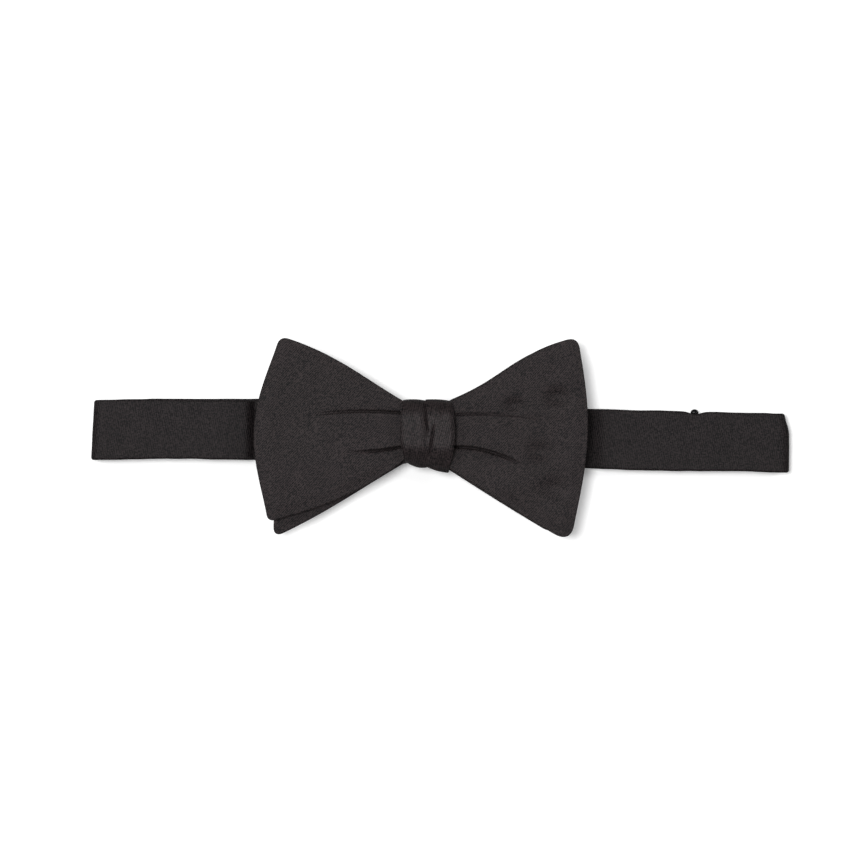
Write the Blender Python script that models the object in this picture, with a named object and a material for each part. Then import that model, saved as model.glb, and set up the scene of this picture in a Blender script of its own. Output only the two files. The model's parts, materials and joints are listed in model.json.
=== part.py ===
"""Ready-tied bow tie lying flat: two stacked bows, a knot, and a neckband pressed into a closed loop.

Metres, +Z up away from the table, +X to the wearer's left, +Y up towards the chin.
The origin lies on the table under the knot.
"""

from math import cos, exp, pi, sin

import bmesh
import bpy
from mathutils import Matrix, Vector

MM = 0.001

# Shared sizes, in millimetres.
GAP = 0.3
BAND_WIDTH = 20.7
BAND_THICKNESS = 1.8
SLEEVE_WALL = 0.3
INTERLINING_THICKNESS = 0.6
LINK_LENGTH = 80.0
HINGE_GAP = 0.7
RIGHT_HINGE_GAP = 1.4
KNOT_GATHER = 3.4

# The loop pressed flat: the outer ends of the two folds and the height of each layer's middle.
LEFT_END = -115.9
RIGHT_END = 124.7
REAR_MID = 0.9
FRONT_MID = 6.2
RIGHT_REAR_MID = 1.6
FOLD_PIVOT_Z = 3.9
LEFT_FOLD_X = LEFT_END + 3.55
RIGHT_FOLD_X = RIGHT_END - 3.2
LEFT_HINGE_X = LEFT_FOLD_X + LINK_LENGTH
RIGHT_HINGE_X = RIGHT_FOLD_X - LINK_LENGTH

# Centre line of the front layer across its width: level on the left, falling to the right.
LEFT_CENTRE_Y = 2.2
RIGHT_WING_CENTRE_Y = -1.05
RIGHT_END_CENTRE_Y = -2.5
LEFT_WING_EDGE_X = -60.0
RIGHT_WING_EDGE_X = 59.0
REAR_OFFSET_Y = 0.5

# Clasp and adjuster.
NAPE_END_X = 18.0
HOOK_BAR_X = 26.0
EYE_FAR_X = RIGHT_HINGE_X - 6.0
WIRE_RADIUS = 0.6
STRAP_WIDTH = 14.0
STRAP_THICKNESS = 0.6
STRAP_RAMP = 16.0
TAIL_THICKNESS = 0.5
SLIDER_X = 92.1
SLIDER_BAR_Z = 3.5
SLIDER_BAR_RADIUS = 0.5
SLIDER_HEAD_RADIUS = 1.4
SLIDER_HEAD_Y = 9.0
SLIDER_CENTRE_Y = -0.9
SLIDER_HALF_LENGTH = 5.0
CHEEK_INNER_Y = 7.4
CHEEK_OUTER_Y = 8.3

# Bows.
SHEET = 0.5
BOW_INTERLINING = 0.4
REAR_BOW_Z = 8.2
BOW_SPACING = 1.0
FRONT_BOW_Z = REAR_BOW_Z + 2 * SHEET + BOW_INTERLINING + 2 * GAP + BOW_SPACING
WAIST_HALF = 9.7
KNOT_HALF_X = 9.4
PLEAT_HEIGHT = 1.3
PLEAT_LENGTH = 16.0
WING_LIFT = 1.4

# Knot.
KNOT_HALF_Y = 12.8
KNOT_BOTTOM_Z = 3.3
KNOT_TOP_Z = 17.4
WRAP_THICKNESS = 0.9
LINING_THICKNESS = 0.4

SATIN = (0.0165, 0.0142, 0.0148)
SATIN_REAR = (0.0150, 0.0130, 0.0136)
SATIN_LEFT = (0.0190, 0.0152, 0.0152)
CANVAS = (0.55, 0.52, 0.46)
THREAD = (0.010, 0.009, 0.010)
ENAMEL = (0.012, 0.012, 0.013)
STEEL = (0.20, 0.20, 0.21)


def clear_scene():
    for item in list(bpy.data.objects):
        bpy.data.objects.remove(item, do_unlink=True)


def material(name, colour, roughness, metallic=0.0):
    made = bpy.data.materials.new(name)
    made.use_nodes = True
    shader = made.node_tree.nodes["Principled BSDF"]
    shader.inputs["Base Color"].default_value = (*colour, 1.0)
    shader.inputs["Roughness"].default_value = roughness
    shader.inputs["Metallic"].default_value = metallic
    made.diffuse_color = (*colour, 1.0)
    return made


def add_solid(name, points, faces, look, smooth=False):
    """A closed solid from points in millimetres, with its own material."""
    mesh = bpy.data.meshes.new(name)
    mesh.from_pydata([Vector(p) * MM for p in points], [], faces)
    work = bmesh.new()
    work.from_mesh(mesh)
    bmesh.ops.recalc_face_normals(work, faces=work.faces)
    work.to_mesh(mesh)
    work.free()
    made = bpy.data.objects.new(name, mesh)
    bpy.context.scene.collection.objects.link(made)
    mesh.materials.append(material(name + "_look", *look))
    for face in mesh.polygons:
        face.use_smooth = smooth
    return made


def set_origin(item, x, y, z):
    """Move the object's origin to a point in millimetres, and leave its shape where it is."""
    shift = Vector((x, y, z)) * MM
    item.data.transform(Matrix.Translation(-shift))
    item.location = shift


def front_centre_y(x):
    if x <= LEFT_WING_EDGE_X:
        return LEFT_CENTRE_Y
    if x <= RIGHT_WING_EDGE_X:
        part = (x - LEFT_WING_EDGE_X) / (RIGHT_WING_EDGE_X - LEFT_WING_EDGE_X)
        return LEFT_CENTRE_Y + part * (RIGHT_WING_CENTRE_Y - LEFT_CENTRE_Y)
    part = (x - RIGHT_WING_EDGE_X) / (RIGHT_END - RIGHT_WING_EDGE_X)
    return RIGHT_WING_CENTRE_Y + part * (RIGHT_END_CENTRE_Y - RIGHT_WING_CENTRE_Y)


def rear_centre_y(x):
    """The rear layer sits a little higher than the front one, except at the two folds."""
    from_end = min(x - LEFT_FOLD_X, RIGHT_FOLD_X - x) / 30.0
    return front_centre_y(x) + REAR_OFFSET_Y * max(0.0, min(1.0, from_end))


def rounded_section(width, thickness, steps=3):
    """Corner-rounded outline of a band's cross-section, as (y, z) pairs."""
    radius = thickness * 0.5
    outline = []
    for side, start in ((1, -90.0), (-1, 90.0)):
        for step in range(2 * steps + 1):
            angle = (start + 180.0 * step / (2 * steps)) * pi / 180.0
            outline.append((side * (width / 2 - radius) + radius * cos(angle), radius * sin(angle)))
    return outline


def loft(name, rings, look, smooth=False, caps=True):
    """A solid through rings of equal point count."""
    count = len(rings[0])
    points = [p for ring in rings for p in ring]
    faces = []
    for at in range(len(rings) - 1):
        for k in range(count):
            after = (k + 1) % count
            low = at * count
            faces.append((low + k, low + after, low + count + after, low + count + k))
    if caps:
        faces.append(tuple(range(count)))
        faces.append(tuple(range(len(points) - count, len(points))))
    return add_solid(name, points, faces, look, smooth)


def gathered(x):
    """Width lost where the front layer is drawn together inside the knot."""
    from_knot = (abs(x) - KNOT_HALF_X - 1.0) / 8.0
    return KNOT_GATHER * (1.0 - max(0.0, min(1.0, from_knot)))


def no_gather(x):
    return 0.0


def sleeve(name, x_low, x_high, mid_z, centre_y, look, gather=no_gather, steps=4):
    """A flat sleeve of cloth along X, open at both ends."""
    count = len(rounded_section(BAND_WIDTH, BAND_THICKNESS))
    points = []
    for step in range(steps + 1):
        x = x_low + (x_high - x_low) * step / steps
        width = BAND_WIDTH - gather(x)
        outer = rounded_section(width, BAND_THICKNESS)
        inner = rounded_section(width - 2 * SLEEVE_WALL, BAND_THICKNESS - 2 * SLEEVE_WALL)
        for outline in (outer, inner):
            points += [(x, centre_y(x) + y, mid_z + z) for y, z in outline]
    faces = []
    stride = 2 * count
    for step in range(steps):
        low = step * stride
        for wall in (0, count):
            for k in range(count):
                after = (k + 1) % count
                near = low + wall
                far = near + stride
                faces.append((near + k, near + after, far + after, far + k))
    for low in (0, steps * stride):
        for k in range(count):
            after = (k + 1) % count
            faces.append((low + k, low + after, low + count + after, low + count + k))
    return add_solid(name, points, faces, look)


def strip(name, x_low, x_high, mid_z, centre_y, full_width, thickness, look, gather=no_gather, steps=4):
    """A plain flat strip along X."""
    rings = []
    for step in range(steps + 1):
        x = x_low + (x_high - x_low) * step / steps
        y = centre_y(x)
        width = full_width - gather(x)
        rings.append(
            [
                (x, y - width / 2, mid_z - thickness / 2),
                (x, y + width / 2, mid_z - thickness / 2),
                (x, y + width / 2, mid_z + thickness / 2),
                (x, y - width / 2, mid_z + thickness / 2),
            ]
        )
    return loft(name, rings, look)


def arc(centre_x, centre_z, radius, start, end, steps):
    """Points on an arc in the XZ plane; angles in degrees from +X towards +Z."""
    found = []
    for step in range(steps + 1):
        angle = (start + (end - start) * step / steps) * pi / 180.0
        found.append((centre_x + radius * cos(angle), centre_z + radius * sin(angle)))
    return found


def ribbon(name, path, thickness, width, centre_y, look, smooth=False):
    """A bent strip: a path in the XZ plane with thickness, drawn out along Y."""
    rings = []
    for at, (x, z) in enumerate(path):
        before = Vector(path[max(at - 1, 0)])
        after = Vector(path[min(at + 1, len(path) - 1)])
        along = (after - before).normalized()
        turn = 1.0
        if 0 < at < len(path) - 1:
            first = (Vector(path[at]) - before).normalized()
            turn = max(0.5, first.dot(along))
        side = Vector((-along.y, along.x)) * (thickness / 2 / turn)
        y = centre_y(x)
        rings.append(
            [
                (x - side.x, y - width / 2, z - side.y),
                (x - side.x, y + width / 2, z - side.y),
                (x + side.x, y + width / 2, z + side.y),
                (x + side.x, y - width / 2, z + side.y),
            ]
        )
    return loft(name, rings, look, smooth)


def tube(name, path, radius, look, closed=False, sides=8):
    """Round wire or thread along a path of 3-D points."""
    rings = []
    count = len(path)
    spots = [Vector(p) for p in path]
    side = None
    for at in range(count):
        before = spots[(at - 1) % count] if closed or at else spots[0]
        after = spots[(at + 1) % count] if closed or at < count - 1 else spots[-1]
        along = (after - before).normalized()
        if side is None:
            side = along.orthogonal().normalized()
        side = (side - along * side.dot(along)).normalized()
        up = along.cross(side)
        ring = []
        for k in range(sides):
            angle = 2 * pi * k / sides
            ring.append(tuple(spots[at] + radius * (cos(angle) * side + sin(angle) * up)))
        rings.append(ring)
    if closed:
        rings.append(rings[0])
        points = [p for ring in rings[:-1] for p in ring]
        faces = []
        for at in range(count):
            low = at * sides
            high = ((at + 1) % count) * sides
            for k in range(sides):
                after = (k + 1) % sides
                faces.append((low + k, low + after, high + after, high + k))
        return add_solid(name, points, faces, look, True)
    return loft(name, rings, look, True)


def zigzag(name, start, end, across, count, radius, look):
    """A row of stitches as one thread: a flat zigzag between two points."""
    start = Vector(start)
    step = (Vector(end) - start) / count
    path = []
    for at in range(count + 1):
        offset = Vector(across) * (0.5 if at % 2 else -0.5)
        path.append(start + step * at + offset)
    return tube(name, path, radius, look, sides=6)


def cut(item, cutter):
    """Subtract one solid from another and drop the cutter."""
    change = item.modifiers.new("cut", "BOOLEAN")
    change.operation = "DIFFERENCE"
    change.solver = "EXACT"
    change.object = cutter
    apply_modifier(item, cutter)


def join(item, other):
    """Fuse one solid with another and drop the second."""
    change = item.modifiers.new("join", "BOOLEAN")
    change.operation = "UNION"
    change.solver = "EXACT"
    change.object = other
    apply_modifier(item, other)


def apply_modifier(item, other):
    seen = bpy.context.evaluated_depsgraph_get()
    seen.update()
    made = bpy.data.meshes.new_from_object(item.evaluated_get(seen))
    item.modifiers.clear()
    old = item.data
    look = old.materials[0]
    made.materials.clear()
    made.materials.append(look)
    item.data = made
    made.name = item.name
    bpy.data.objects.remove(other, do_unlink=True)


def block(name, low, high, look=(ENAMEL, 0.4)):
    corners = []
    for z in (low[2], high[2]):
        near = [(low[0], low[1], z), (high[0], low[1], z)]
        far = [(high[0], high[1], z), (low[0], high[1], z)]
        corners.append(near + far)
    return loft(name, corners, look)


# The outer corners of each wing as (x, y), the swell of its outer edge and its corner radius.
FRONT_LEFT = {"top": (-51.2, 34.2), "bottom": (-54.6, -29.6), "swell": 6.6, "corner": 3.0}
FRONT_RIGHT = {"top": (50.8, 34.0), "bottom": (48.6, -35.0), "swell": 4.8, "corner": 3.0}
REAR_LEFT = {"top": (-48.5, 31.0), "bottom": (-50.6, -34.4), "swell": 4.5, "corner": 3.5}
REAR_RIGHT = {"top": (47.4, 33.4), "bottom": (45.5, -34.0), "swell": 3.0, "corner": 3.5}

COLUMNS_PER_WING = 9
ROWS = 18


def wing_point(wing, along, across):
    """A point of a wing: along runs 0 to 1 from the knot outwards, across runs -1 to 1 upwards."""
    side = 1.0 if wing["top"][0] > 0 else -1.0
    top = wing["top"]
    bottom = wing["bottom"]
    rise = (across + 1) / 2
    outer_x = bottom[0] + (top[0] - bottom[0]) * rise + side * wing["swell"] * (1 - across * across)
    x = side * KNOT_HALF_X + (outer_x - side * KNOT_HALF_X) * along
    reach = top[1] if across > 0 else -bottom[1]
    spread = along + 0.12 * sin(pi * along)
    y = across * (WAIST_HALF + (reach - WAIST_HALF) * spread)
    if along > 0.999 and abs(across) > 0.999:
        x -= side * wing["corner"] * 0.3
        y -= wing["corner"] * 0.3 * (1 if across > 0 else -1)
    return x, y


def bow_grid(left, right, inset):
    """Rows and columns of (x, y, along, across) for a whole bow, from wing to wing."""
    grid = []
    for row in range(inset, ROWS + 1 - inset):
        across = -1 + 2 * row / ROWS
        line = []
        for column in range(COLUMNS_PER_WING - inset, 0, -1):
            along = column / COLUMNS_PER_WING
            line.append((*wing_point(left, along, across), along, across))
        for x in (-KNOT_HALF_X, -KNOT_HALF_X / 2, 0.0, KNOT_HALF_X / 2, KNOT_HALF_X):
            line.append((x, across * WAIST_HALF, 0.0, across))
        for column in range(1, COLUMNS_PER_WING + 1 - inset):
            along = column / COLUMNS_PER_WING
            line.append((*wing_point(right, along, across), along, across))
        grid.append(line)
    return grid


def pleat_height(x, along, across):
    """Height of the cloth over its base: two pleat valleys at the knot, and lifted wing ends."""
    from_knot = max(0.0, abs(x) - KNOT_HALF_X)
    fade = exp(-((from_knot / PLEAT_LENGTH) ** 2))
    ridge = 0.5 + 0.5 * cos(3 * pi * across)
    lift = WING_LIFT * along * along
    return PLEAT_HEIGHT * ridge * fade + lift


def bow_sheet(name, left, right, base_z, thickness, inset, look):
    """One cloth layer of a bow, following the same pleats as the layers next to it."""
    grid = bow_grid(left, right, inset)
    rows = len(grid)
    columns = len(grid[0])
    points = []
    for level in (0.0, thickness):
        for line in grid:
            for x, y, along, across in line:
                points.append((x, y, base_z + level + pleat_height(x, along, across)))
    layer = rows * columns
    faces = []
    for row in range(rows - 1):
        for column in range(columns - 1):
            a = row * columns + column
            b = a + 1
            c = b + columns
            d = a + columns
            faces += [(a, b, c), (a, c, d)]
            faces += [(layer + a, layer + b, layer + c), (layer + a, layer + c, layer + d)]
    edge = [column for column in range(columns)]
    edge += [row * columns + columns - 1 for row in range(1, rows)]
    edge += [(rows - 1) * columns + column for column in range(columns - 2, -1, -1)]
    edge += [row * columns for row in range(rows - 2, 0, -1)]
    for at, near in enumerate(edge):
        far = edge[(at + 1) % len(edge)]
        faces.append((near, far, layer + far, layer + near))
    return add_solid(name, points, faces, look, True)


def knot_path(half_y, low_z, high_z, start, end, steps, flat=0.34):
    """A rounded path round the waist in the YZ plane; a lower flat makes a squarer path."""
    middle = (low_z + high_z) / 2
    half_z = (high_z - low_z) / 2
    found = []
    for step in range(steps + 1):
        angle = (start + (end - start) * step / steps) * pi / 180.0
        c = cos(angle)
        s = sin(angle)
        y = half_y * (1 if c >= 0 else -1) * abs(c) ** flat
        z = middle + half_z * (1 if s >= 0 else -1) * abs(s) ** (flat * 1.25)
        found.append((y, z))
    return found


def knot_layer(name, half_x, half_y, low_z, high_z, thickness, look, rows=6):
    """A wrap round the waist whose two ends nearly meet at the middle of the back."""
    seam = 3.0
    outer = knot_path(half_y, low_z, high_z, -90 + seam, 270 - seam, 60)
    inner = knot_path(
        half_y - thickness, low_z + thickness, high_z - thickness, -90 + seam, 270 - seam, 60
    )
    rings = []
    for (y_out, z_out), (y_in, z_in) in zip(outer, inner):
        narrow = 1.0 - 0.14 * (abs(y_out) / half_y) ** 3
        ring = []
        for k in range(rows + 1):
            x = half_x * narrow * (2 * k / rows - 1)
            ring.append((x, y_out, z_out))
        for k in range(rows, -1, -1):
            x = half_x * narrow * (2 * k / rows - 1)
            ring.append((x, y_in, z_in))
        rings.append(ring)
    return loft(name, rings, look, True)


def build_band():
    satin = (SATIN, 0.42)
    canvas = (CANVAS, 0.9)
    inner_width = BAND_WIDTH - 2 * SLEEVE_WALL - 2 * GAP
    right_low = RIGHT_HINGE_X - RIGHT_HINGE_GAP
    right_high = RIGHT_HINGE_X + RIGHT_HINGE_GAP
    pieces = (
        ("nape_band", LEFT_HINGE_X + HINGE_GAP, NAPE_END_X, REAR_MID, rear_centre_y, 8.0),
        ("left_rear_band", LEFT_FOLD_X + GAP, LEFT_HINGE_X - HINGE_GAP, REAR_MID, rear_centre_y, 0.0),
        ("left_front_band", LEFT_FOLD_X + GAP, LEFT_HINGE_X - HINGE_GAP, FRONT_MID, front_centre_y, 0.0),
        ("centre_band", LEFT_HINGE_X + HINGE_GAP, right_low, FRONT_MID, front_centre_y, 0.0),
        ("right_front_band", right_high, RIGHT_FOLD_X - GAP, FRONT_MID, front_centre_y, 0.0),
    )
    for name, low, high, mid, centre, short in pieces:
        middle = name == "centre_band"
        gather = gathered if middle else no_gather
        steps = 12 if middle else 4
        sleeve(name, low, high, mid, centre, satin, gather, steps)
        lining = name + "_interlining"
        high -= 1.0 + short
        width = inner_width - (2.0 if middle else 0.0)
        strip(lining, low + 1.0, high, mid, centre, width, INTERLINING_THICKNESS, canvas, gather, steps)
    sleeve("right_rear_band", RIGHT_FOLD_X - 18.0, RIGHT_FOLD_X - GAP, RIGHT_REAR_MID, front_centre_y, satin)


def build_folds():
    """The two pressed folds where the front layer turns over into the rear one."""
    folds = (
        ("left_fold", LEFT_FOLD_X, LEFT_CENTRE_Y, REAR_MID, 270, 90, SATIN_LEFT),
        ("right_fold", RIGHT_FOLD_X, front_centre_y(RIGHT_FOLD_X), RIGHT_REAR_MID, -90, 90, SATIN_REAR),
    )
    for name, fold_x, fold_y, rear_mid, start, end, colour in folds:
        middle = (rear_mid + FRONT_MID) / 2
        radius = (FRONT_MID - rear_mid) / 2
        path = arc(fold_x, middle, radius, start, end, 14)
        item = ribbon(name, path, BAND_THICKNESS, BAND_WIDTH, lambda x, y=fold_y: y, (colour, 0.42), True)
        set_origin(item, fold_x, fold_y, FOLD_PIVOT_Z)


def build_clasp():
    wire_z = RIGHT_REAR_MID
    clasp_y = rear_centre_y(RIGHT_HINGE_X)
    half = STRAP_WIDTH / 2 + 1.0
    path = []
    for x, y in ((1, 1), (0, 1), (0, -1), (1, -1)):
        corner_x = EYE_FAR_X + x * (RIGHT_HINGE_X - EYE_FAR_X)
        for turn in range(5):
            angle = {(1, 1): 0, (0, 1): 90, (0, -1): 180, (1, -1): 270}[(x, y)] + 22.5 * turn
            inner_x = corner_x + (-1.2 if x else 1.2)
            inner_y = clasp_y + y * (half - 1.2)
            turned = angle * pi / 180
            path.append((inner_x + 1.2 * cos(turned), inner_y + 1.2 * sin(turned), wire_z))
    tube("eye", path, WIRE_RADIUS, (STEEL, 0.35, 1.0), closed=True)

    low_z = wire_z - 0.4
    high_z = wire_z + 0.4
    plate = block(
        "hook",
        (HOOK_BAR_X - 0.6, clasp_y - 8.5, low_z),
        (HOOK_BAR_X + 6.0, clasp_y + 8.5, high_z),
        (STEEL, 0.35, 1.0),
    )
    window = block(
        "hook_window",
        (HOOK_BAR_X + 0.6, clasp_y - 7.3, low_z - 1),
        (HOOK_BAR_X + 4.2, clasp_y + 7.3, high_z + 1),
    )
    cut(plate, window)
    claw_path = [(HOOK_BAR_X + 5.0, wire_z), (HOOK_BAR_X + 7.0, wire_z + 0.2)]
    claw_path += arc(EYE_FAR_X, wire_z, 1.25, 130, -20, 10)
    claw = ribbon("hook_claw", claw_path, 0.6, 7.0, lambda x: clasp_y, (STEEL, 0.35, 1.0))
    join(plate, claw)

    loop_path = [(NAPE_END_X - 7.0, REAR_MID), (NAPE_END_X + 1.0, REAR_MID), (HOOK_BAR_X - 2.4, 0.42)]
    loop_path += arc(HOOK_BAR_X, wire_z, 1.25, 250, 500, 16)
    loop_path.append((HOOK_BAR_X - 3.2, 2.0))
    ribbon("hook_loop", loop_path, 0.4, 12.0, lambda x: clasp_y, (SATIN, 0.5), True)
    zigzag(
        "nape_end_stitching",
        (NAPE_END_X - 2.0, clasp_y - 5.5, REAR_MID + BAND_THICKNESS / 2 + 0.45),
        (NAPE_END_X - 2.0, clasp_y + 5.5, REAR_MID + BAND_THICKNESS / 2 + 0.45),
        (1.6, 0, 0),
        14,
        0.18,
        (THREAD, 0.6),
    )


def build_adjuster():
    strap_z = RIGHT_REAR_MID
    pivot_x = RIGHT_HINGE_X
    strap_y = rear_centre_y(pivot_x)

    def centre(x):
        part = (x - pivot_x) / STRAP_RAMP
        return strap_y + min(1.0, max(0.0, part)) * (SLIDER_CENTRE_Y - strap_y)

    path = [(RIGHT_FOLD_X - 11.0, strap_z), (pivot_x + STRAP_RAMP, strap_z), (pivot_x + 5.0, 0.75)]
    path += arc(pivot_x, strap_z, 1.2, 285, 70, 18)
    path.append((pivot_x + 3.6, 3.05))
    ribbon("adjuster_strap", path, STRAP_THICKNESS, STRAP_WIDTH, centre, (SATIN_REAR, 0.5), True)

    wrap = SLIDER_BAR_RADIUS + GAP + TAIL_THICKNESS / 2
    top_z = SLIDER_BAR_Z + wrap
    path = [(pivot_x + 4.1, 3.1), (pivot_x + 14.0, top_z - 0.3), (pivot_x + 20.0, top_z)]
    path += arc(SLIDER_X, SLIDER_BAR_Z, wrap, 90, -90, 10)
    path.append((SLIDER_X - 9.0, SLIDER_BAR_Z - wrap))
    tail = ribbon("adjuster_tail", path, TAIL_THICKNESS, STRAP_WIDTH - 1.0, centre, (SATIN_REAR, 0.5), True)
    set_origin(tail, pivot_x, strap_y, strap_z)
    between = SLIDER_BAR_Z
    block(
        "tail_tack",
        (SLIDER_X - 7.5, SLIDER_CENTRE_Y - 5.0, between - 0.5),
        (SLIDER_X - 5.7, SLIDER_CENTRE_Y + 5.0, between + 0.5),
        (THREAD, 0.7),
    )

    frame = block(
        "slider_frame",
        (SLIDER_X - SLIDER_HALF_LENGTH, SLIDER_CENTRE_Y - CHEEK_OUTER_Y, 0.1),
        (SLIDER_X - SLIDER_HALF_LENGTH + 1.4, SLIDER_CENTRE_Y + CHEEK_OUTER_Y, 1.0),
        (ENAMEL, 0.35, 0.4),
    )
    far_bar = block(
        "far_bar",
        (SLIDER_X + SLIDER_HALF_LENGTH - 1.4, SLIDER_CENTRE_Y - CHEEK_OUTER_Y, 0.1),
        (SLIDER_X + SLIDER_HALF_LENGTH, SLIDER_CENTRE_Y + CHEEK_OUTER_Y, 1.0),
    )
    for side in (-1, 1):
        profile = [(-SLIDER_HALF_LENGTH, 0.1), (SLIDER_HALF_LENGTH, 0.1), (SLIDER_HALF_LENGTH, 1.0)]
        profile += arc(0, SLIDER_BAR_Z, 1.5, -10, 190, 10)
        profile.append((-SLIDER_HALF_LENGTH, 1.0))
        rings = []
        for y in (CHEEK_INNER_Y, CHEEK_OUTER_Y):
            rings.append([(SLIDER_X + x, SLIDER_CENTRE_Y + side * y, z) for x, z in profile])
        cheek = loft("cheek", rings, (ENAMEL, 0.35, 0.4))
        join(frame, cheek)
    join(frame, far_bar)
    drill = tube(
        "drill",
        [(SLIDER_X, SLIDER_CENTRE_Y - 12, SLIDER_BAR_Z), (SLIDER_X, SLIDER_CENTRE_Y + 12, SLIDER_BAR_Z)],
        SLIDER_BAR_RADIUS + 0.2,
        (ENAMEL, 0.35, 0.4),
        sides=16,
    )
    cut(frame, drill)
    build_slider_bar()
    set_origin(frame, SLIDER_X, SLIDER_CENTRE_Y, SLIDER_BAR_Z)


def build_slider_bar():
    """A round bar with a domed head at each end, turned about Y."""
    start = (pi - 0.36) / 2
    head = []
    for step in range(9):
        angle = -pi / 2 + (pi / 2 + start) * step / 8
        head.append((SLIDER_HEAD_RADIUS * cos(angle), SLIDER_HEAD_RADIUS * sin(angle) * 0.85 + SLIDER_HEAD_Y))
    neck_y = SLIDER_HEAD_Y - SLIDER_HEAD_RADIUS * 0.35
    outer = [(max(r, 0.02), y) for r, y in head if y > neck_y]
    profile = [(SLIDER_BAR_RADIUS, neck_y), (SLIDER_HEAD_RADIUS * 0.92, neck_y)] + outer
    line = [(r, -y) for r, y in reversed(profile)] + profile
    rings = []
    for radius, y in line:
        ring = []
        for k in range(20):
            angle = 2 * pi * k / 20
            x = SLIDER_X + radius * cos(angle)
            z = SLIDER_BAR_Z + radius * sin(angle)
            ring.append((x, SLIDER_CENTRE_Y + y, z))
        rings.append(ring)
    return loft("slider_bar", rings, (ENAMEL, 0.3, 0.4), True)


def build_bows():
    for name, left, right, base, tone in (
        ("rear_bow", REAR_LEFT, REAR_RIGHT, REAR_BOW_Z, SATIN_REAR),
        ("front_bow", FRONT_LEFT, FRONT_RIGHT, FRONT_BOW_Z, SATIN),
    ):
        bow_sheet(name + "_back", left, right, base, SHEET, 0, (tone, 0.42))
        middle = base + SHEET + GAP
        bow_sheet(name + "_interlining", left, right, middle, BOW_INTERLINING, 1, (CANVAS, 0.9))
        upper = middle + BOW_INTERLINING + GAP
        bow_sheet(name + "_face", left, right, upper, SHEET, 0, (tone, 0.4))


def build_knot():
    knot_layer(
        "knot_wrap", KNOT_HALF_X, KNOT_HALF_Y, KNOT_BOTTOM_Z, KNOT_TOP_Z, WRAP_THICKNESS, (SATIN, 0.4)
    )
    inner = WRAP_THICKNESS + GAP
    knot_layer(
        "knot_lining",
        KNOT_HALF_X - 1.0,
        KNOT_HALF_Y - inner,
        KNOT_BOTTOM_Z + inner,
        KNOT_TOP_Z - inner,
        LINING_THICKNESS,
        (CANVAS, 0.9),
        rows=4,
    )
    zigzag(
        "knot_stitches",
        (-7.0, 0.0, KNOT_BOTTOM_Z - 0.5),
        (7.0, 0.0, KNOT_BOTTOM_Z - 0.5),
        (0, 2.4, 0),
        14,
        0.18,
        (THREAD, 0.6),
    )
    low = FRONT_MID + BAND_THICKNESS / 2 + 0.55
    high = FRONT_BOW_Z + 2 * SHEET + BOW_INTERLINING + 2 * GAP + PLEAT_HEIGHT + 0.55
    path = [(0.0, y, z) for y, z in knot_path(WAIST_HALF + 0.6, low, high, 0, 355, 72, 0.16)]
    tube("waist_thread", path, 0.22, (THREAD, 0.6), sides=6)


def main():
    clear_scene()
    build_band()
    build_folds()
    build_clasp()
    build_adjuster()
    build_bows()
    build_knot()


main()
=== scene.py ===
"""Looks of the ready-tied bow tie: black silk satin laid flat, seen from straight above."""

import json
from math import cos, pi, sin

import bpy
import numpy as np
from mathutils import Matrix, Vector, noise


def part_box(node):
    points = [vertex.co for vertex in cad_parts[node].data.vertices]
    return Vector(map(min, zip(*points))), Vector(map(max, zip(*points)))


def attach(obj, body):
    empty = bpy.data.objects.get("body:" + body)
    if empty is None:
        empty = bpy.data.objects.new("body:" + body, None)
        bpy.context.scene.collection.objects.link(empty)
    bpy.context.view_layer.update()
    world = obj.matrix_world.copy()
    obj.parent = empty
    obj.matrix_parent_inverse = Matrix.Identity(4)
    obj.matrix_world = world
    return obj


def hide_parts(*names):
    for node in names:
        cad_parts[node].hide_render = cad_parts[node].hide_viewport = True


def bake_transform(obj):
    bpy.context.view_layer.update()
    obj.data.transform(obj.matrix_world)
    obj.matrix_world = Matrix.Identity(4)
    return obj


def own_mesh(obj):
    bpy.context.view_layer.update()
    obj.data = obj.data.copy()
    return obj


MM = 0.001
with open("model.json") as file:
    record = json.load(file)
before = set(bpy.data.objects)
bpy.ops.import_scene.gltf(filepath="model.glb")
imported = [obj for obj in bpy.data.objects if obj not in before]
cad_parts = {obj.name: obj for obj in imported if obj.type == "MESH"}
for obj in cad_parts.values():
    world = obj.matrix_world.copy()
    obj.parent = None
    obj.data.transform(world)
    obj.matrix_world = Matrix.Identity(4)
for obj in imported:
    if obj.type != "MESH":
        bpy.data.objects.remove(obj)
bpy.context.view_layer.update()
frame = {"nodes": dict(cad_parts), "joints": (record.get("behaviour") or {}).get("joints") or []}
hinges = {j["name"]: [c / MM for c in j["pos_m"]] for j in frame["joints"] if "pos_m" in j}


def node_box(name):
    """Lowest and highest corner of a CAD node, in millimetres."""
    low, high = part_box(name)
    return np.array(low) / MM, np.array(high) / MM


def middle_z(name):
    low, high = node_box(name)
    return (low[2] + high[2]) / 2


def middle_y(name):
    low, high = node_box(name)
    return (low[1] + high[1]) / 2


# Places taken from the frame, in millimetres.
BAND_WIDTH = float(np.ptp([c[1] for c in node_box("left_fold")]))
BAND_THICKNESS = float(np.ptp([c[2] for c in node_box("nape_band")]))
FRONT_MID = middle_z("left_front_band")
REAR_MID = middle_z("nape_band")
RIGHT_REAR_MID = middle_z("right_rear_band")
LEFT_FOLD_X = hinges["left_fold_bend"][0]
RIGHT_FOLD_X = hinges["right_fold_bend"][0]
LEFT_HINGE_X = hinges["left_nape_bend"][0]
RIGHT_HINGE_X = hinges["right_wing_bend"][0]
LEFT_Y = middle_y("left_fold")
RIGHT_HINGE_Y = node_box("right_front_band")[1][1] - BAND_WIDTH / 2
RIGHT_Y = node_box("right_fold")[0][1] + BAND_WIDTH / 2
BOW_LOW, BOW_HIGH = node_box("front_bow_face")
REAR_LOW, REAR_HIGH = node_box("rear_bow_face")
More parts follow.
